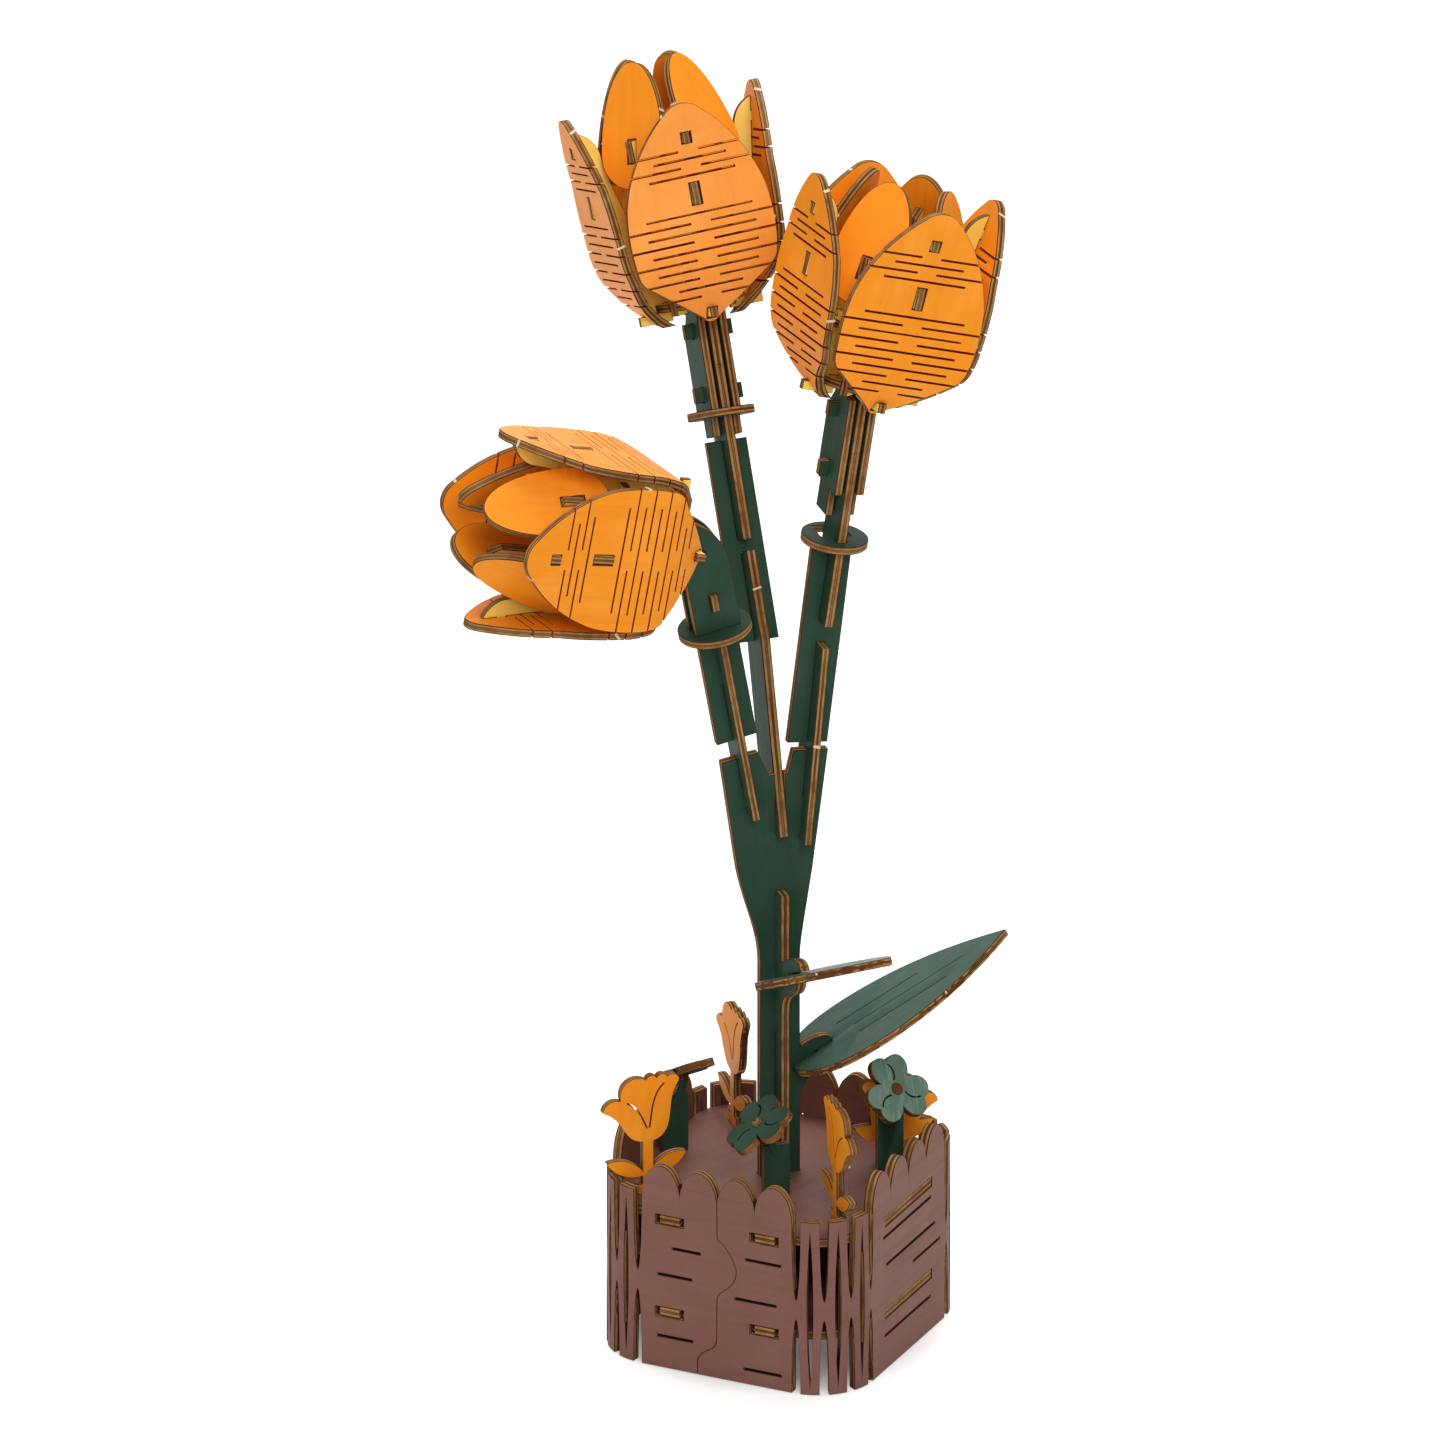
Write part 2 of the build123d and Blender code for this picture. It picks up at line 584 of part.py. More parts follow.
def head_frame(base_point, axis, reference, turn):
    w = axis.normalized()
    x = (reference - w * reference.dot(w)).normalized()
    y = w.cross(x)
    x2 = x * cos(radians(turn)) + y * sin(radians(turn))
    return Plane(origin=base_point, x_dir=x2, z_dir=w).location


def flower_head(name, loc, core_hole, sides):
    for side, at in sides.items():
        put(name + "_petal_" + side, loc * Rot(0, 0, at) * petal_body)
    put(name + "_outer_ribs", *[loc * Rot(0, 0, 90 * i) * outer_rib_body for i in range(4)])
    turns = [loc * Rot(0, 0, 45 + inner_turn[name] + 90 * i) for i in range(4)]
    inside_petal = inner_petal(inner_slide[name])
    inside_rib = inner_rib(inner_slide[name])
    put(name + "_inner_petals", *[turn * inside_petal for turn in turns])
    put(name + "_inner_ribs", *[turn * inside_rib for turn in turns])
    low_disc = loc * hub(low_hub, 0.8, inner_turn[name]) - core_hole
    put(name + "_hubs", low_disc, loc * hub(top_hub, 4.0, inner_turn[name]))


# Straight stems: flange, tongue, collar, cheeks, core and pegs
def yz_sheet(face, x, thick):
    return sheet(face, Plane(origin=(x, 0, 0), x_dir=(0, 1, 0), z_dir=(1, 0, 0)), thick)


def span(half, z0, z1):
    return Pos(0, (z0 + z1) / 2) * Rectangle(2 * half, z1 - z0)


def slot_block(thick, z0, z1):
    return block(-thick / 2 - fit, thick / 2 + fit, -9, 9, z0, z1)


def flange(z0, z1):
    return sheet(span(flange_half, z0, z1), Plane.XZ, thin)


def tongue(z0, peg_y):
    face = span(tongue_half, z0 + fit, seam_z - fit)
    face -= Pos(peg_y, 0) * span(thin / 2 + fit, pegs_z[1][0] - fit, seam_z + 1)
    return yz_sheet(face, 0, ply)


def core(peg_y):
    face = span(tongue_half, seam_z, core_shoulder) + span(core_tenon, core_shoulder, core_top)
    face -= Pos(peg_y, 0) * span(thin / 2 + fit, seam_z - 1, pegs_z[0][1] + fit)
    return yz_sheet(face, 0, ply)


def cheek(x, spec):
    step, foot, back, low, peg_y = spec
    run, drop = cheek_chamfer
    face = Polygon((-tongue_half, step), (back, step), (back, core_shoulder - drop),
                   (back - run, core_shoulder), (-tongue_half, core_shoulder), align=None)
    face += Pos((low[0] + low[1]) / 2, 0) * span((low[1] - low[0]) / 2, foot, step)
    for z0, z1 in pegs_z:
        face -= Pos(peg_y, 0) * span(thin / 2 + fit, z0 - fit, z1 + fit)
    return yz_sheet(face, x, thin)


def peg_plate(peg_y):
    web = cheek_x - thin / 2 - fit
    face = span(web, pegs_z[1][0], pegs_z[0][1])
    for z0, z1 in pegs_z:
        face += span(cheek_x + thin / 2 + peg_out, z0, z1)
    return sheet(face, Plane(origin=(0, peg_y, 0), x_dir=(1, 0, 0), z_dir=(0, -1, 0)), thin)


def collar(z, radius, low):
    face = Circle(radius)
    face -= Rectangle(ply + 2 * slide_fit, 2 * (tongue_half + slide_fit))
    wide = 2 * cheek_x + thin + 2 * slide_fit
    face -= Pos(0, (low[0] + low[1]) / 2) * Rectangle(wide, low[1] - low[0] + 2 * slide_fit)
    return Pos(0, 0, z - thin / 2) * extrude(face, amount=thin)


def core_clearance(loc):
    grow = 2 * fit + 0.05
    return loc * block(-ply / 2 - grow, ply / 2 + grow, -core_tenon - grow, core_tenon + grow, -2, 12)


def straight_stem(name, loc, tongue_z, cheek_spec, collar_z):
    peg_y = cheek_spec[4]
    put(name + "_tongue", loc * tongue(tongue_z, peg_y))
    put(name + "_collar", loc * collar(collar_z, collar_r, cheek_spec[3]))
    put(name + "_core", loc * core(peg_y))
    put(name + "_cheeks", loc * cheek(-cheek_x, cheek_spec), loc * cheek(cheek_x, cheek_spec))
    put(name + "_pegs", loc * peg_plate(peg_y))


right_collar_z = right_flange[1] - right_reach + thin / 2 + collar_rest
mid_collar_z = mid_cheek[0] - thin / 2 - fit
straight_stem("right", right_loc, right_bridge[1] - right_reach, right_cheek, right_collar_z)
straight_stem("mid", mid_loc, mid_bridge[1], mid_cheek, mid_collar_z)
right_plate = right_flange_loc * flange(*right_flange)
right_plate -= right_rib_loc * slot_block(thin, right_flange[0] - 9, right_bridge[0] + fit)
right_plate -= right_loc * slot_block(ply, right_bridge[1] - right_reach, right_flange[1] - right_reach + 9)
put("right_flange", right_plate)
mid_plate = flange(*mid_flange) - Pos(-mid_shift, 0, 0) * slot_block(ply, mid_flange[0] - 9, mid_bridge[0])
put("mid_flange", mid_loc * (mid_plate - slot_block(ply, mid_bridge[1], mid_flange[1] + 9)))

right_rib = span(tongue_half, right_foot, right_bridge[0] - fit)
right_rib -= span(ply / 2 + fit, right_foot - 1, right_lap + fit)
put("right_rib", right_rib_loc * yz_sheet(right_rib, 0, thin))


# Middle rib: bent outline in the YZ plane, lapped on the main plate
def strip(a, b, half):
    length = hypot(b[0] - a[0], b[1] - a[1])
    turn = degrees(atan2(b[1] - a[1], b[0] - a[0]))
    return Pos((a[0] + b[0]) / 2, (a[1] + b[1]) / 2) * Rot(0, 0, turn) * Rectangle(length, 2 * half)


def on_mid(z):
    return (mid_base.Y + mid_w.Y * z, mid_base.Z + mid_w.Z * z)


mid_rib = strip(mid_foot, mid_kink, 6.5) + Pos(*mid_kink) * Circle(6.3)
mid_rib += strip(mid_kink, on_mid(mid_bridge[0] - fit), tongue_half)
mid_rib -= Pos(0, mid_lap - 20) * Rectangle(ply + 2 * fit, 40 + 2 * fit)
put("mid_rib", yz_sheet(mid_rib, 0, ply))

# Left stem: rib lapped on an elbow that turns to the drooping head
left_flange_lap = left_flange_foot / 2
left_rib = span(tongue_half, left_foot, -thin / 2 - fit)
left_rib -= span(ply / 2 + fit, left_foot - 1, left_lap + fit)
left_rib -= span(ply / 2 + fit, left_flange_lap - fit, 1)
put("left_rib", left_loc * yz_sheet(left_rib, 0, thin))

elbow_end = (-elbow_r + elbow_r * cos(radians(elbow_turn)),
             elbow_start + elbow_r * sin(radians(elbow_turn)))


def elbow_bend(turn, half):
    ring = Circle(elbow_r + half) - Circle(elbow_r - half)
    wedge = Polygon((0, 0), (60, 0), (60 * cos(radians(turn)), 60 * sin(radians(turn))), align=None)
    return Pos(-elbow_r, elbow_start) * (ring & wedge)


def elbow_peg_spots():
    a = radians(34)
    return ((0, 10.7, 0), (-elbow_r + elbow_r * cos(a), elbow_start + elbow_r * sin(a), 34))


elbow = span(flange_half, left_flange_foot, elbow_start) + elbow_bend(elbow_turn, flange_half)
elbow += Pos(*elbow_end) * Rot(0, 0, elbow_turn) * span(core_tenon, -1, core_top)
elbow -= span(thin / 2 + fit, left_flange_foot - 1, left_flange_lap + fit)
elbow_cheek = span(elbow_cheek_half, thin / 2 + fit, elbow_start)
elbow_cheek += elbow_bend(elbow_turn - 8, elbow_cheek_half)
left_pegs = []
for x, z, turn in elbow_peg_spots():
    spot = Pos(x, z) * Rot(0, 0, turn)
    elbow -= spot * Rectangle(thin + 2 * fit, 5 + 2 * fit)
    elbow_cheek -= spot * Rectangle(thin + 2 * fit, 5 + 2 * fit)
    left_pegs.append(left_loc * sheet(spot * Rectangle(thin, 5), Plane.XZ, 2 * cheek_x + thin + 2.4))
put("left_core", left_loc * sheet(elbow, Plane.XZ, ply))
cheek_planes = [Plane(origin=(0, y, 0), x_dir=(1, 0, 0), z_dir=(0, -1, 0)) for y in (-cheek_x, cheek_x)]
put("left_cheeks", *[left_loc * sheet(elbow_cheek, p, thin) for p in cheek_planes])
put("left_pegs", *left_pegs)
left_ring = Circle(left_collar_r) - Rectangle(2 * (flange_half + slide_fit), ply + 2 * slide_fit)
put("left_collar", left_loc * Pos(0, 0, -thin / 2) * extrude(left_ring, amount=thin))

# Heads on their cores
sides = {"front": -90, "left": 180, "back": 90, "right": 0}
left_sides = {"front": -90, "bottom": 180, "back": 90, "top": 0}
flower_head("mid", head_frame(mid_base, mid_axis, Vector(1, 0, 0), mid_turn),
            core_clearance(mid_loc), sides)
flower_head("right", head_frame(right_base, right_axis, Vector(1, 0, 0), right_turn),
            core_clearance(right_loc), sides)
left_tip = left_loc * Pos(elbow_end[0], 0, elbow_end[1])
grow = 2 * fit + 0.05
left_hole = left_tip * Rot(0, -elbow_turn, 0) * block(-core_tenon - grow, core_tenon + grow,
                                                      -ply / 2 - grow, ply / 2 + grow, -2, 12)
flower_head("left", head_frame(left_tip.position, left_axis, Vector(0, 0, 1), left_base_turn),
            left_hole, left_sides)

# Origin at the middle of the assembly's footprint, on the floor
everything = Compound([s for found in parts.values() for s in found])
box = everything.bounding_box()
shift = Pos(-(box.min.X + box.max.X) / 2, -(box.min.Y + box.max.Y) / 2, -box.min.Z)
print("shift", shift.position, "size", box.size)

for name, found in parts.items():
    moved = [shift * s for s in found]
    body = moved[0] if len(moved) == 1 else Compound(moved)
    export_step(body, os.path.join("parts", name + ".step"))
    print(name, len(moved), round(sum(s.volume for s in moved), 1))
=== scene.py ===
import bpy
import json
import math
import numpy as np
from mathutils import Matrix, Vector
from mathutils.bvhtree import BVHTree

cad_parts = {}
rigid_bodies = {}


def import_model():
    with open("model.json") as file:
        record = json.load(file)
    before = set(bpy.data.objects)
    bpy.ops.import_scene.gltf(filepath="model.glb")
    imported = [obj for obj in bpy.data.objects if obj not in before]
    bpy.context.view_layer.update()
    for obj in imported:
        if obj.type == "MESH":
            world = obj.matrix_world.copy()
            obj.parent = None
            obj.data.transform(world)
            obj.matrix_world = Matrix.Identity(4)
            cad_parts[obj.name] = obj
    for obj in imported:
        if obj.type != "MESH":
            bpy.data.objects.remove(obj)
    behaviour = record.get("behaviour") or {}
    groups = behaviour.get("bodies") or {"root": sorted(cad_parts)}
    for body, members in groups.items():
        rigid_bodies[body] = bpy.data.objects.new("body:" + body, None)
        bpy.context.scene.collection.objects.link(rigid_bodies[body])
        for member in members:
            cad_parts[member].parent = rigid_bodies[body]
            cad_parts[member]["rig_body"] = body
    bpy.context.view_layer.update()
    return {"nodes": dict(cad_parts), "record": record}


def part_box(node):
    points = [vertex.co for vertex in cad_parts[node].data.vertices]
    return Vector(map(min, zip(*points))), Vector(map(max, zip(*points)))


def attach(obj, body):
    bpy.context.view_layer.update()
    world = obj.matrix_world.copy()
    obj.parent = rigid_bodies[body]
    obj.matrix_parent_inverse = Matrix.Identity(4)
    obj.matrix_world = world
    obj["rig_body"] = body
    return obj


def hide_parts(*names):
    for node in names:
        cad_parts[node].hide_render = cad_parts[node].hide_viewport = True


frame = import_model()
bpy.ops.object.select_all(action='DESELECT')
scene = bpy.context.scene
scene.view_settings.view_transform = 'Standard'

soilLow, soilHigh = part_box("soil_plate")
potCentre = (soilLow + soilHigh) / 2  # the soil plate is centred on the pot
potCentre.z = 0
print("frame loaded:", len(frame["nodes"]), "plywood nodes")


class Wire:
    def __init__(self, finish, socket):
        self.finish = finish
        self.socket = socket

    def calc(self, operation, first, second):
        return self.finish.node("ShaderNodeMath", {"operation": operation}, {0: first, 1: second})

    def __add__(self, other): return self.calc('ADD', self, other)
    def __radd__(self, other): return self.calc('ADD', other, self)
    def __sub__(self, other): return self.calc('SUBTRACT', self, other)
    def __rsub__(self, other): return self.calc('SUBTRACT', other, self)
    def __mul__(self, other): return self.calc('MULTIPLY', self, other)
    def __rmul__(self, other): return self.calc('MULTIPLY', other, self)


class Finish:
    def __init__(self, name):
        self.material = bpy.data.materials.new(name)
        self.material.use_nodes = True
        self.tree = self.material.node_tree
        self.tree.nodes.clear()
        self.shader = self.tree.nodes.new("ShaderNodeBsdfPrincipled")
        self.output = self.tree.nodes.new("ShaderNodeOutputMaterial")
        self.tree.links.new(self.shader.outputs[0], self.output.inputs[0])

    def node(self, kind, settings, sockets, out=0):
        made = self.tree.nodes.new(kind)
        for key, value in settings.items():
            if key == "stops":
                while len(made.color_ramp.elements) < len(value):
                    made.color_ramp.elements.new(0.5)
                for stop, (place, colour) in zip(made.color_ramp.elements, value):
                    stop.position = place
                    stop.color = (*colour, 1)
            else:
                setattr(made, key, value)
        for key, value in sockets.items():
            self.plug(made.inputs[key], value)
        return Wire(self, made.outputs[out])

    def plug(self, socket, value):
        if isinstance(value, Wire):
            self.tree.links.new(value.socket, socket)
        else:
            socket.default_value = value

    def feed(self, **sockets):
        for key, value in sockets.items():
            self.plug(self.shader.inputs[key.replace("_", " ")], value)

    def mixColour(self, factor, first, second):
        first, second = (c if isinstance(c, Wire) else (*c, 1) for c in (first, second))
        return self.node("ShaderNodeMix", {"data_type": 'RGBA'}, {0: factor, 6: first, 7: second}, out=2)

    def noise(self, place, scale, detail=2.0, rough=0.5):
        return self.node("ShaderNodeTexNoise", {},
                         {"Vector": place, "Scale": scale, "Detail": detail, "Roughness": rough})

    def rise(self, value, low, high, most):  # from 0 at low to most at high
        return self.node("ShaderNodeMapRange", {}, {0: value, 1: low, 2: high, 3: 0, 4: most})

    def attribute(self, name, out):
        return self.node("ShaderNodeAttribute", {"attribute_name": name}, {}, out=out)

    def objectPlace(self):
        return self.node("ShaderNodeTexCoord", {}, {}, out="Object")

    def bump(self, strength, distance, height):
        return self.node("ShaderNodeBump", {}, {"Strength": strength, "Distance": distance, "Height": height})


# painted plywood: face paint, cut edge, burnt rim, charred kerf, torn wood
paintLooks = {
    "orange": {"base": (0.85, 0.270, 0.010), "pale": (0.92, 0.345, 0.036), "deep": (0.70, 0.180, 0.007),
               "kerf": (0.21, 0.030, 0.007), "rough": 0.50, "gloss": 0.15, "rub": 0.15},
    # paleOrange is orange made paler as a painted sheen, for petals that catch a highlight
    "paleOrange": {"base": (0.88, 0.315, 0.046), "pale": (0.93, 0.385, 0.080), "deep": (0.74, 0.215, 0.018),
                   "kerf": (0.21, 0.030, 0.007), "rough": 0.48, "gloss": 0.24, "rub": 0.25},
    "yellow": {"base": (0.92, 0.64, 0.100), "pale": (0.96, 0.74, 0.180), "deep": (0.80, 0.50, 0.055),
               "kerf": (0.14, 0.060, 0.016), "rough": 0.52, "gloss": 0.25, "rub": 0.15},
    "green": {"base": (0.021, 0.055, 0.033), "pale": (0.036, 0.078, 0.053), "deep": (0.014, 0.038, 0.023),
              "kerf": (0.012, 0.014, 0.008), "rough": 0.55, "gloss": 0.10, "rub": 0.15},
    # leafGreen is lighter than green as a painted sheen of the leaves' glossy paint
    "leafGreen": {"base": (0.034, 0.080, 0.055), "pale": (0.070, 0.120, 0.092), "deep": (0.022, 0.058, 0.038),
                  "kerf": (0.014, 0.020, 0.012), "rough": 0.42, "gloss": 0.25, "rub": 0.5},
    # rubbedGreen has rubbed streaks, and its much lighter green is a painted highlight
    "rubbedGreen": {"base": (0.090, 0.162, 0.120), "pale": (0.190, 0.262, 0.216),
                    "deep": (0.045, 0.095, 0.068), "kerf": (0.014, 0.020, 0.012),
                    "rough": 0.42, "gloss": 0.25, "rub": 0.8},
    "mauve": {"base": (0.200, 0.090, 0.069), "pale": (0.235, 0.112, 0.088), "deep": (0.150, 0.064, 0.048),
              "kerf": (0.050, 0.020, 0.010), "rough": 0.52, "gloss": 0.13, "rub": 0.20},
}
grainLook = {
    "streakScale": (26, 420, 60), "streakDetail": 3.0, "streakBreak": 0.6,  # wood grain under the paint
    "darkFrom": 0.50, "darkTo": 0.78, "dark": 0.35,
    "cloudScale": 55.0, "cloudFrom": 0.45, "cloudTo": 0.75, "cloud": 0.6,
    "brushScale": (130, 650, 60), "brushDetail": 4.0, "brushBreak": 0.65, "rubFrom": 0.48, "rubTo": 0.70,
    "speckScale": 1500, "speckDetail": 1.0,
    "streakRough": 0.22, "speckRough": 0.10,
    "streakHeight": 0.7, "speckHeight": 0.3, "bump": 0.12, "bumpDistance": 0.0004,
}
edgeLook = {
    "tan": (0.42, 0.230, 0.085), "core": (0.125, 0.045, 0.014), "heart": (0.27, 0.140, 0.055),
    "glue": (0.060, 0.022, 0.008), "char": (0.028, 0.010, 0.005),
    "plies": ((0.0, "char"), (0.08, "char"), (0.13, "tan"), (0.33, "tan"), (0.38, "glue")),  # face to middle
    "middleFrom": 0.44, "wobbleScale": 160.0, "wobble": 0.10,
    "heartScale": 22.0, "heartFrom": 0.44, "heartTo": 0.56,  # the middle ply is lighter in places
    "burnScale": 70.0, "burnDetail": 3.0, "burnShare": 0.6, "blotchScale": 330.0, "blotchShare": 0.4,
    "scorchFrom": 0.44, "scorchTo": 0.66, "scorch": 0.75,
    "fibreScale": 1400.0, "fibreDark": 0.25, "fibreRough": 0.2,
    "plyHeight": 0.3, "bump": 0.25, "bumpDistance": 0.0003, "rough": 0.72, "gloss": 0.04,
}
rimLook = {"colour": (0.040, 0.014, 0.006), "warm": 1.8, "patch": 120.0, "rough": 0.7}
kerfLook = {"warm": 1.6, "patch": 90.0, "rough": 0.8}
rawLook = {"colour": (0.78, 0.66, 0.48), "shade": (0.56, 0.42, 0.26), "patch": 900.0, "rough": 0.75}
patchRough = 0.2  # how far a two-tone finish varies in roughness


def makePaint(name, look):
    f = Finish("paint_" + name)
    g = grainLook
    grainPos = f.attribute("grainPos", "Vector")
    place = f.objectPlace()
    stretched = f.node("ShaderNodeMapping", {}, {"Vector": grainPos, "Scale": g["streakScale"]})
    brushed = f.node("ShaderNodeMapping", {}, {"Vector": grainPos, "Scale": g["brushScale"]})
    streak = f.noise(stretched, 1.0, g["streakDetail"], g["streakBreak"])
    brush = f.noise(brushed, 1.0, g["brushDetail"], g["brushBreak"])
    cloud = f.noise(place, g["cloudScale"])
    speck = f.noise(place, g["speckScale"], g["speckDetail"])
    colour = f.mixColour(f.rise(cloud, g["cloudFrom"], g["cloudTo"], g["cloud"]), look["base"], look["pale"])
    colour = f.mixColour(f.rise(streak, g["darkFrom"], g["darkTo"], g["dark"]), colour, look["deep"])
    colour = f.mixColour(f.rise(brush, g["rubFrom"], g["rubTo"], look["rub"]), colour, look["pale"])
    roughness = look["rough"] + (streak - 0.5) * g["streakRough"] + (speck - 0.5) * g["speckRough"]
    height = streak * g["streakHeight"] + speck * g["speckHeight"]
    f.feed(Base_Color=colour, Roughness=roughness, Normal=f.bump(g["bump"], g["bumpDistance"], height),
           Specular_IOR_Level=look["gloss"])
    return f.material


def makeEdge():
    f = Finish("cut_edge")
    e = edgeLook
    place = f.objectPlace()
    fibre = f.noise(place, e["fibreScale"])
    layer = f.attribute("plyDepth", "Fac") + (f.noise(place, e["wobbleScale"]) - 0.5) * e["wobble"]

    def plies(middle):
        half = [(at, e[tone]) for at, tone in e["plies"]] + [(e["middleFrom"], middle)]
        otherHalf = [(1 - at, tone) for at, tone in half[::-1]]
        return f.node("ShaderNodeValToRGB", {"stops": half + otherHalf}, {0: layer})

    lightMiddle = f.rise(f.noise(place, e["heartScale"], 1.0), e["heartFrom"], e["heartTo"], 1.0)
    colour = f.mixColour(lightMiddle, plies(e["core"]), plies(e["heart"]))
    burn = f.noise(place, e["burnScale"], e["burnDetail"])
    patchy = burn * e["burnShare"] + f.noise(place, e["blotchScale"]) * e["blotchShare"]
    colour = f.mixColour(f.rise(patchy, e["scorchFrom"], e["scorchTo"], e["scorch"]), colour, e["core"])
    colour = f.mixColour(fibre * e["fibreDark"], colour, e["char"])
    height = fibre + layer * e["plyHeight"]
    f.feed(Base_Color=colour, Roughness=e["rough"] + (fibre - 0.5) * e["fibreRough"],
           Normal=f.bump(e["bump"], e["bumpDistance"], height), Specular_IOR_Level=e["gloss"])
    return f.material


def makeTwoTone(name, first, second, look):
    f = Finish(name)
    patch = f.noise(f.objectPlace(), look["patch"])
    f.feed(Base_Color=f.mixColour(patch, first, second), Roughness=look["rough"] + (patch - 0.5) * patchRough,
           Specular_IOR_Level=edgeLook["gloss"])
    return f.material


def makeScorched(name, colour, look):
    return makeTwoTone(name, colour, tuple(c * look["warm"] for c in colour), look)


paints = {name: makePaint(name, look) for name, look in paintLooks.items()}
cutEdge = makeEdge()
burntRim = makeScorched("burnt_rim", rimLook["colour"], rimLook)
kerfs = {name: makeScorched("kerf_" + name, look["kerf"], kerfLook) for name, look in paintLooks.items()}
rawWood = makeTwoTone("raw_wood", rawLook["colour"], rawLook["shade"], rawLook)
print("finishes made:", len(paints) + len(kerfs) + 3)


def deselectAll():
    if bpy.context.object and bpy.context.object.mode != 'OBJECT':
        bpy.ops.object.mode_set(mode='OBJECT')
    bpy.ops.object.select_all(action='DESELECT')


def editOnly(piece):
    deselectAll()
    piece.select_set(True)
    bpy.context.view_layer.objects.active = piece
    bpy.ops.object.mode_set(mode='EDIT')
    bpy.context.tool_settings.mesh_select_mode = (False, True, False)


# pale stubs left where a piece was broken out of its sheet: side of the piece, and how far along it
stubSpots = {"_petal_": ((1, 0.46), (-1, 0.46), (-1, 0.95), (1, 0.08)),
             "_inner_petals": ((1, 0.40), (-1, 0.62)), "leaf_": ((1, 0.30), (-1, 0.66)),
             "flower_": ((1, 0.12), (-1, 0.55)), "_cheeks": ((1, 0.62),),
             "mid_rib": ((1, 0.5), (-1, 0.86)), "left_rib": ((1, 0.4),), "right_rib": ((-1, 0.6),)}
stubLook = {"wide": 0.0008, "thick": 0.0027, "proud": 0.0007, "sunk": 0.0002,
            "taper": (0.62, 0.86), "torn": 0.28, "lean": math.radians(6),
            "cover": 0.92,  # share of the sheet's thickness
            "sideways": 0.35, "wrongSide": 0.5}  # a wall facing less to its side counts as further away
stubPlaces = []


def findStubs(name, mesh, axes, faceLabels, centres, normals, walls):
    wanted = [spots for part, spots in stubSpots.items() if part in name]
    for label, (plateNormal, lengthwise) in axes.items():
        for side, fraction in wanted[0] if wanted else ():
            mine = np.flatnonzero((faceLabels == label) & walls)
            h = centres[mine] @ lengthwise
            h = (h - h.min()) / (h.max() - h.min())
            outward = normals[mine] @ np.cross(plateNormal, lengthwise) * side
            missed = np.abs(h - fraction) + stubLook["wrongSide"] * (outward < stubLook["sideways"])
            best = mine[np.argmin(missed)]
            corners = [mesh.vertices[v].co.dot(Vector(plateNormal)) for v in mesh.polygons[best].vertices]
            thick = stubLook["cover"] * (max(corners) - min(corners))
            stubPlaces.append((Vector(centres[best]), Vector(normals[best]), Vector(plateNormal), thick))


def makeStubs():
    deselectAll()
    bpy.ops.mesh.primitive_cube_add(size=1, location=(0, 0, 0.5))
    master = bpy.context.object
    editOnly(master)
    bpy.ops.mesh.select_all(action='SELECT')
    bpy.ops.mesh.subdivide(number_cuts=2)
    bpy.ops.object.mode_set(mode='OBJECT')
    for vertex in master.data.vertices:
        if vertex.co.z > 0.9:  # torn fibres end at uneven heights
            vertex.co.z -= stubLook["torn"] * abs(math.sin(7.3 * vertex.co.x + 5.1 * vertex.co.y))
            vertex.co.x *= stubLook["taper"][0]
            vertex.co.y *= stubLook["taper"][1]
    copies = []
    for i, (place, outward, plateNormal, thick) in enumerate(stubPlaces):
        along = plateNormal.cross(outward).normalized()
        across = outward.cross(along).normalized()
        grow = 0.8 + 0.4 * ((i * 37) % 11) / 10  # no two neighbours alike
        proud = stubLook["proud"] * (1.5 - 0.5 * grow)
        scale = (stubLook["wide"] * grow, min(thick, stubLook["thick"]), proud)
        turn = Matrix([along, across, outward]).transposed().to_4x4()
        lean = Matrix.Rotation(((i * 53) % 7 - 3) * stubLook["lean"], 4, 'Z')
        shift = Matrix.Translation(place - outward * stubLook["sunk"])
        stub = bpy.data.objects.new("stub", master.data.copy())
        stub.matrix_world = shift @ turn @ lean @ Matrix.Diagonal((*scale, 1))
        scene.collection.objects.link(stub)
        copies.append(stub)
    bpy.data.objects.remove(master)
    deselectAll()
    for stub in copies:
        stub.select_set(True)
    bpy.context.view_layer.objects.active = copies[0]
    bpy.ops.object.join()
    stubs = bpy.context.object
    stubs.name = "break_stubs"
    bpy.ops.object.transform_apply(location=True, rotation=True, scale=True)
    stubs.data.materials.clear()
    stubs.data.materials.append(rawWood)
    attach(stubs, frame["nodes"]["mid_petal_front"]["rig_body"])
    return len(copies)


# each CAD plate is copied, welded, sorted into painted faces, cut edges and kerfs, and given its burnt rim
plateLook = {"rim": 0.00016,  # unless rimWidths has another for the plate
             "flatBroad": 0.9, "bentBroad": 0.45,  # faces turned less than this to the sheet's normal are cut
             "weld": 0.00001, "flat": math.radians(0.6), "smooth": math.radians(20),
             "kerf": 0.0014,  # walls closer than this to each other are a laser kerf, not a slot
             "clear": 0.00001,  # a ray starts this far off its wall
             "grainShift": 0.013,  # per vertex, so that unlike plates have unlike grain
             "leftTip": (-0.9, 0.1, 0.2), "upTip": (0.1, 0.1, 0.9)}
potLook = {"panelHalf": 0.0244, "turn": math.radians(45)}
rimWidths = {"pot_wall": 0.00008, "flower_": 0.00008, "clover_stems": 0, "clover_": 0.00008,
             "_petal_": 0.00012}
slotPaint = {"orange_ply": "orange", "yellow_ply": "yellow", "green_ply": "green", "mauve_ply": "mauve"}
ownPaint = {"leaf_right": "leafGreen", "leaf_front": "leafGreen", "clover_right": "rubbedGreen",
            "mid_petal_front": "paleOrange", "left_petal_top": "paleOrange"}  # lighter paints as painted sheen and highlight; clover_right also has rubbed streaks
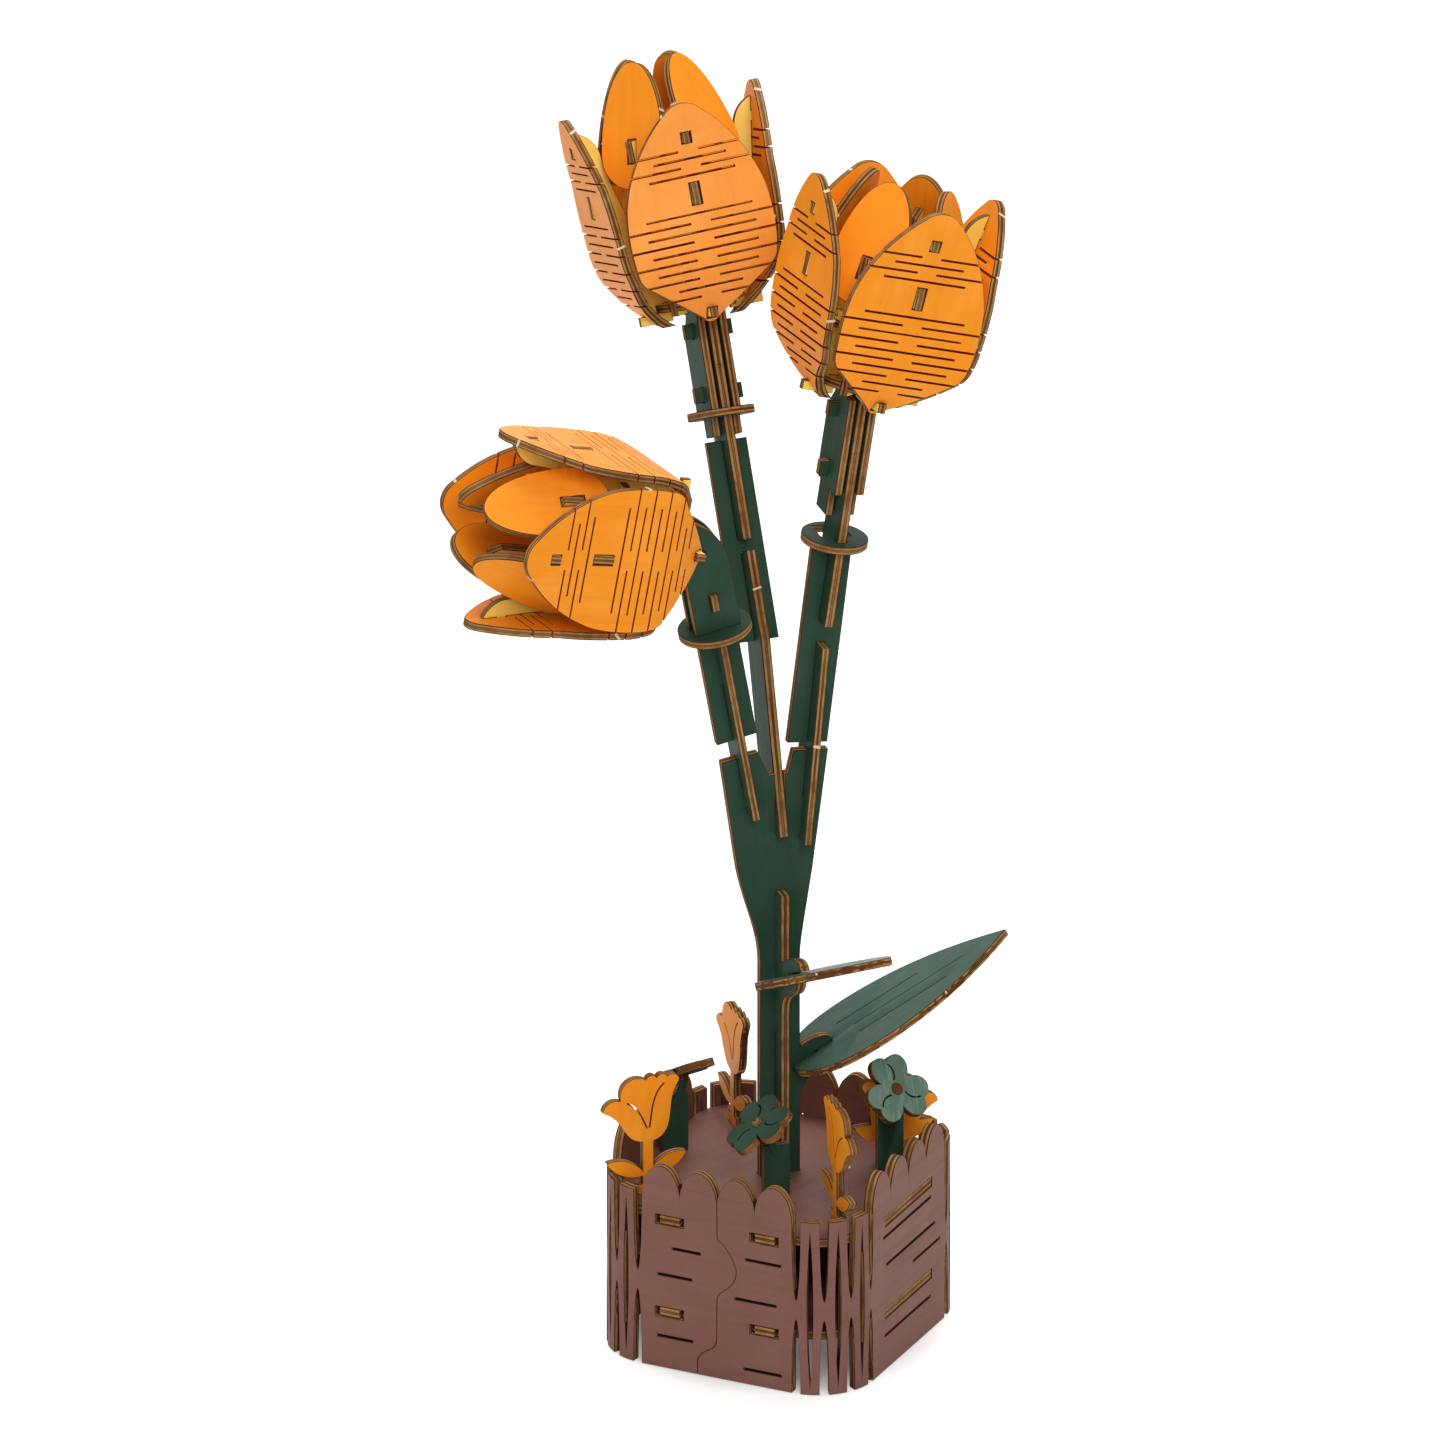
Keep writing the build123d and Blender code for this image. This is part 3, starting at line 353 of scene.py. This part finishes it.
slitShadePetals = ("mid_petal_front", "mid_petal_right",
                "right_petal_front", "right_petal_left", "right_petal_right")  # their slit lips get the dark kerf finish: painted shade of the dark see-through slits
nodeSlot = {s["node"]: s["material_slot"] for s in frame["record"]["subparts"]}
paintFace, edgeFace, rimFace, kerfFace = range(4)  # order of a plate's materials


def readMesh(mesh):
    def read(items, what, width, kind=float):
        values = np.zeros(len(items) * width, kind)
        items.foreach_get(what, values)
        return values.reshape(-1, width) if width > 1 else values

    return (read(mesh.vertices, "co", 3), read(mesh.polygons, "normal", 3), read(mesh.polygons, "area", 1),
            read(mesh.polygons, "center", 3), read(mesh.edges, "vertices", 2, int))


def solidLabels(count, edges):
    labels = np.arange(count)  # every vertex takes the lowest number in its own solid
    while True:
        low = np.minimum(labels[edges[:, 0]], labels[edges[:, 1]])
        before = labels.copy()
        np.minimum.at(labels, edges[:, 0], low)
        np.minimum.at(labels, edges[:, 1], low)
        labels = labels[labels]
        if (labels == before).all():
            return labels


def potNormals(points):
    c, s = math.cos(potLook["turn"]), math.sin(potLook["turn"])
    x, y = points[:, 0] - potCentre.x, points[:, 1] - potCentre.y
    lx, ly = c * x - s * y, s * x + c * y
    half = potLook["panelHalf"]
    dx = np.where(np.abs(lx) > half, lx - np.sign(lx) * half, 0)
    dy = np.where(np.abs(ly) > half, ly - np.sign(ly) * half, 0)
    size = np.maximum(np.hypot(dx, dy), 1e-9)
    dx, dy = dx / size, dy / size
    along = np.where(np.abs(dx) > np.abs(dy), ly, lx)
    return np.stack([c * dx + s * dy, -s * dx + c * dy, 0 * dx], 1), along


def layGrain(name, co, normals, areas, centres, labels, faceLabels):
    facing = np.zeros(len(normals))
    grain = np.zeros((len(co), 3))
    axes = {}
    if name.startswith("pot_wall"):
        facing = (normals * potNormals(centres)[0]).sum(1)
        along = potNormals(co)[1]
        return facing, np.stack([along, co[:, 2], 0 * along], 1), axes
    towardsTip = np.array(plateLook["leftTip" if name.startswith("left_") else "upTip"])
    for label in np.unique(labels):
        mine, own = faceLabels == label, labels == label
        n = normals[mine]
        spread = (n * areas[mine][:, None]).T @ n
        plateNormal = np.linalg.eigh(spread)[1][:, 2]
        facing[mine] = n @ plateNormal
        p = co[own] - co[own].mean(0)
        p = p - np.outer(p @ plateNormal, plateNormal)
        lengthwise = np.linalg.eigh(p.T @ p)[1][:, 2]
        lengthwise = lengthwise * np.sign(lengthwise @ towardsTip)
        axes[label] = (plateNormal, lengthwise)
        grain[own, 0] = co[own] @ lengthwise
        grain[own, 1] = co[own] @ np.cross(plateNormal, lengthwise)
        grain[own, 2] = len(grain) * plateLook["grainShift"]
    return facing, grain, axes


def sortFaces(mesh, co, facing, broad):
    solid = BVHTree.FromPolygons(co.tolist(), [list(p.vertices) for p in mesh.polygons])
    depth = np.full(len(co), 0.5)  # 0 on one broad face of the sheet, 1 on the other
    sidesOf = {}
    for polygon, isBroad, side in zip(mesh.polygons, broad, facing):
        polygon.material_index = paintFace if isBroad else edgeFace
        if not isBroad:
            start = polygon.center + polygon.normal * plateLook["clear"]
            if solid.ray_cast(start, polygon.normal, plateLook["kerf"])[0] is not None:
                polygon.material_index = kerfFace
        for key in polygon.edge_keys:
            sidesOf.setdefault(key, set()).add(bool(isBroad))
        if isBroad:
            for v in polygon.vertices:
                depth[v] = 0.0 if side > 0 else 1.0
    return depth, sidesOf


def finishKerfLips(mesh, lip):
    kerfEdges = {key for p in mesh.polygons if p.material_index == kerfFace for key in p.edge_keys}
    for polygon in mesh.polygons:
        if polygon.material_index == rimFace and any(key in kerfEdges for key in polygon.edge_keys):
            polygon.material_index = lip


def burnRim(piece, name, edges, sidesOf):
    mesh = piece.data
    corner = np.array([len(sidesOf.get(tuple(sorted(e)), ())) == 2 for e in edges])
    mesh.edges.foreach_set("select", corner)
    marked = np.zeros(len(mesh.vertices), bool)
    marked[edges[corner].ravel()] = True
    mesh.vertices.foreach_set("select", marked)
    rim = next((width for part, width in rimWidths.items() if part in name), plateLook["rim"])
    if rim > 0:
        editOnly(piece)
        bpy.ops.mesh.bevel(offset=rim, segments=1, affect='EDGES', clamp_overlap=False, material=rimFace)
        bpy.ops.mesh.select_all(action='DESELECT')
        bpy.ops.object.mode_set(mode='OBJECT')
        # on the listed petals the lips get the kerf finish as painted shade of the slits; elsewhere the paint
        # runs up to the kerf
        finishKerfLips(mesh, kerfFace if name in slitShadePetals else paintFace)


def dressPlate(name):
    node = frame["nodes"][name]
    piece = bpy.data.objects.new(name + "_ply", node.data.copy())
    scene.collection.objects.link(piece)
    mesh = piece.data
    mesh.materials.clear()
    slot = nodeSlot[name]
    paint = ownPaint.get(name, slotPaint[slot])
    for material in (paints[paint], cutEdge, burntRim, kerfs[paint]):
        mesh.materials.append(material)
    editOnly(piece)
    bpy.ops.mesh.select_all(action='SELECT')
    bpy.ops.mesh.remove_doubles(threshold=plateLook["weld"])
    bpy.ops.mesh.dissolve_limited(angle_limit=plateLook["flat"])
    bpy.ops.mesh.select_all(action='DESELECT')
    bpy.ops.object.mode_set(mode='OBJECT')

    co, normals, areas, centres, edges = readMesh(mesh)
    labels = solidLabels(len(co), edges)
    faceLabels = labels[np.array([p.vertices[0] for p in mesh.polygons])]
    facing, grain, axes = layGrain(name, co, normals, areas, centres, labels, faceLabels)
    isBent = "_petal_" in name or name.startswith("pot_wall")
    broad = np.abs(facing) > plateLook["bentBroad" if isBent else "flatBroad"]
    depth, sidesOf = sortFaces(mesh, co, facing, broad)
    walls = np.array([p.material_index == edgeFace for p in mesh.polygons])
    findStubs(name, mesh, axes, faceLabels, centres, normals, walls)
    plyDepth = mesh.attributes.new("plyDepth", 'FLOAT', 'POINT')
    plyDepth.data.foreach_set("value", depth.astype(np.float32))
    grainPos = mesh.attributes.new("grainPos", 'FLOAT_VECTOR', 'POINT')
    grainPos.data.foreach_set("vector", grain.astype(np.float32).ravel())
    burnRim(piece, name, edges, sidesOf)
    bpy.ops.object.shade_smooth_by_angle(angle=plateLook["smooth"])
    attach(piece, node["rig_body"])
    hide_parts(name)
    return piece


plates = {name: dressPlate(name) for name in sorted(frame["nodes"])}
print("plates dressed:", len(plates), "faces", sum(len(p.data.polygons) for p in plates.values()))
print("break-out stubs:", makeStubs())


# floor, light and camera
stageLook = {"size": 6.0, "drop": 0.0002, "tone": (0.80, 0.80, 0.80), "rough": 0.9, "glow": 0.42,
             "paintedShadowUnderPot": 0.30, "paintedShadowEdges": (0.038, 0.050),  # painted shadow under the pot: the glow brightens between these distances from the pot's middle
             "skyTone": (1, 1, 1, 1), "sky": 0.45}
lampLook = {
    "key": {"place": (-0.10, -1.25, 1.25), "size": 0.9, "power": 11.5, "tone": (1.0, 0.97, 0.93)},
    "fill": {"place": (-1.25, -0.75, 0.70), "size": 1.2, "power": 2.5, "tone": (0.95, 0.97, 1.0)},
    "top": {"place": (0.15, 0.45, 1.60), "size": 1.4, "power": 18.0, "tone": (1.0, 1.0, 1.0)},
    "rear": {"place": (0.45, 1.60, 0.90), "size": 1.4, "power": 7.0, "tone": (1.0, 1.0, 1.0)},
}
lampAim = Vector((0, 0, 0.19))
viewLook = {"azimuth": math.radians(-19.6), "elevation": math.radians(24.9), "field": 0.4247,
            "aim": (-0.01566, 0.00557, 0.1949), "away": 2.4, "clip": (0.01, 30)}

deselectAll()
bpy.ops.mesh.primitive_plane_add(size=stageLook["size"], location=(0, 0, -stageLook["drop"]))
floor = bpy.context.object
floor.name = "floor"
f = Finish("studio_floor")
# painted shadow: the floor's glow is dimmed under the pot
fromPot = f.node("ShaderNodeVectorMath", {"operation": 'DISTANCE'},
                 {0: f.objectPlace(), 1: potCentre}, out="Value")
outsidePaintedShadow = f.rise(fromPot, *stageLook["paintedShadowEdges"], 1.0)
glow = f.mixColour(outsidePaintedShadow, (stageLook["paintedShadowUnderPot"],) * 3, (1, 1, 1))
direct, mirrored, through = (f.node("ShaderNodeLightPath", {}, {}, out="Is " + ray + " Ray")
                             for ray in ("Camera", "Glossy", "Transmission"))
glow = f.mixColour(direct + mirrored + through, (0, 0, 0), glow)  # seen as white, but lights nothing
f.feed(Base_Color=(*stageLook["tone"], 1), Roughness=stageLook["rough"], Emission_Color=glow,
       Emission_Strength=stageLook["glow"])
floor.data.materials.append(f.material)

world = bpy.data.worlds.new("studio")
scene.world = world
world.use_nodes = True
sky = world.node_tree.nodes["Background"]
sky.inputs["Color"].default_value = stageLook["skyTone"]
sky.inputs["Strength"].default_value = stageLook["sky"]

for name, lamp in lampLook.items():
    light = bpy.data.lights.new(name, 'AREA')
    light.shape = 'DISK'
    light.size = lamp["size"]
    light.energy = lamp["power"]
    light.color = lamp["tone"]
    holder = bpy.data.objects.new(name + "Lamp", light)
    holder.location = lamp["place"]
    holder.rotation_euler = (lampAim - holder.location).to_track_quat('-Z', 'Y').to_euler()
    scene.collection.objects.link(holder)

level = math.cos(viewLook["elevation"])
back = Vector((math.sin(viewLook["azimuth"]) * level, -math.cos(viewLook["azimuth"]) * level,
               math.sin(viewLook["elevation"])))
lens = bpy.data.cameras.new("photoView")
lens.type = 'ORTHO'
lens.ortho_scale = viewLook["field"]
lens.clip_start, lens.clip_end = viewLook["clip"]
camera = bpy.data.objects.new("photoView", lens)
camera.location = potCentre + Vector(viewLook["aim"]) + back * viewLook["away"]
camera.rotation_euler = (-back).to_track_quat('-Z', 'Y').to_euler()
scene.collection.objects.link(camera)
scene.camera = camera
print("stage, lamps and camera set")

deselectAll()
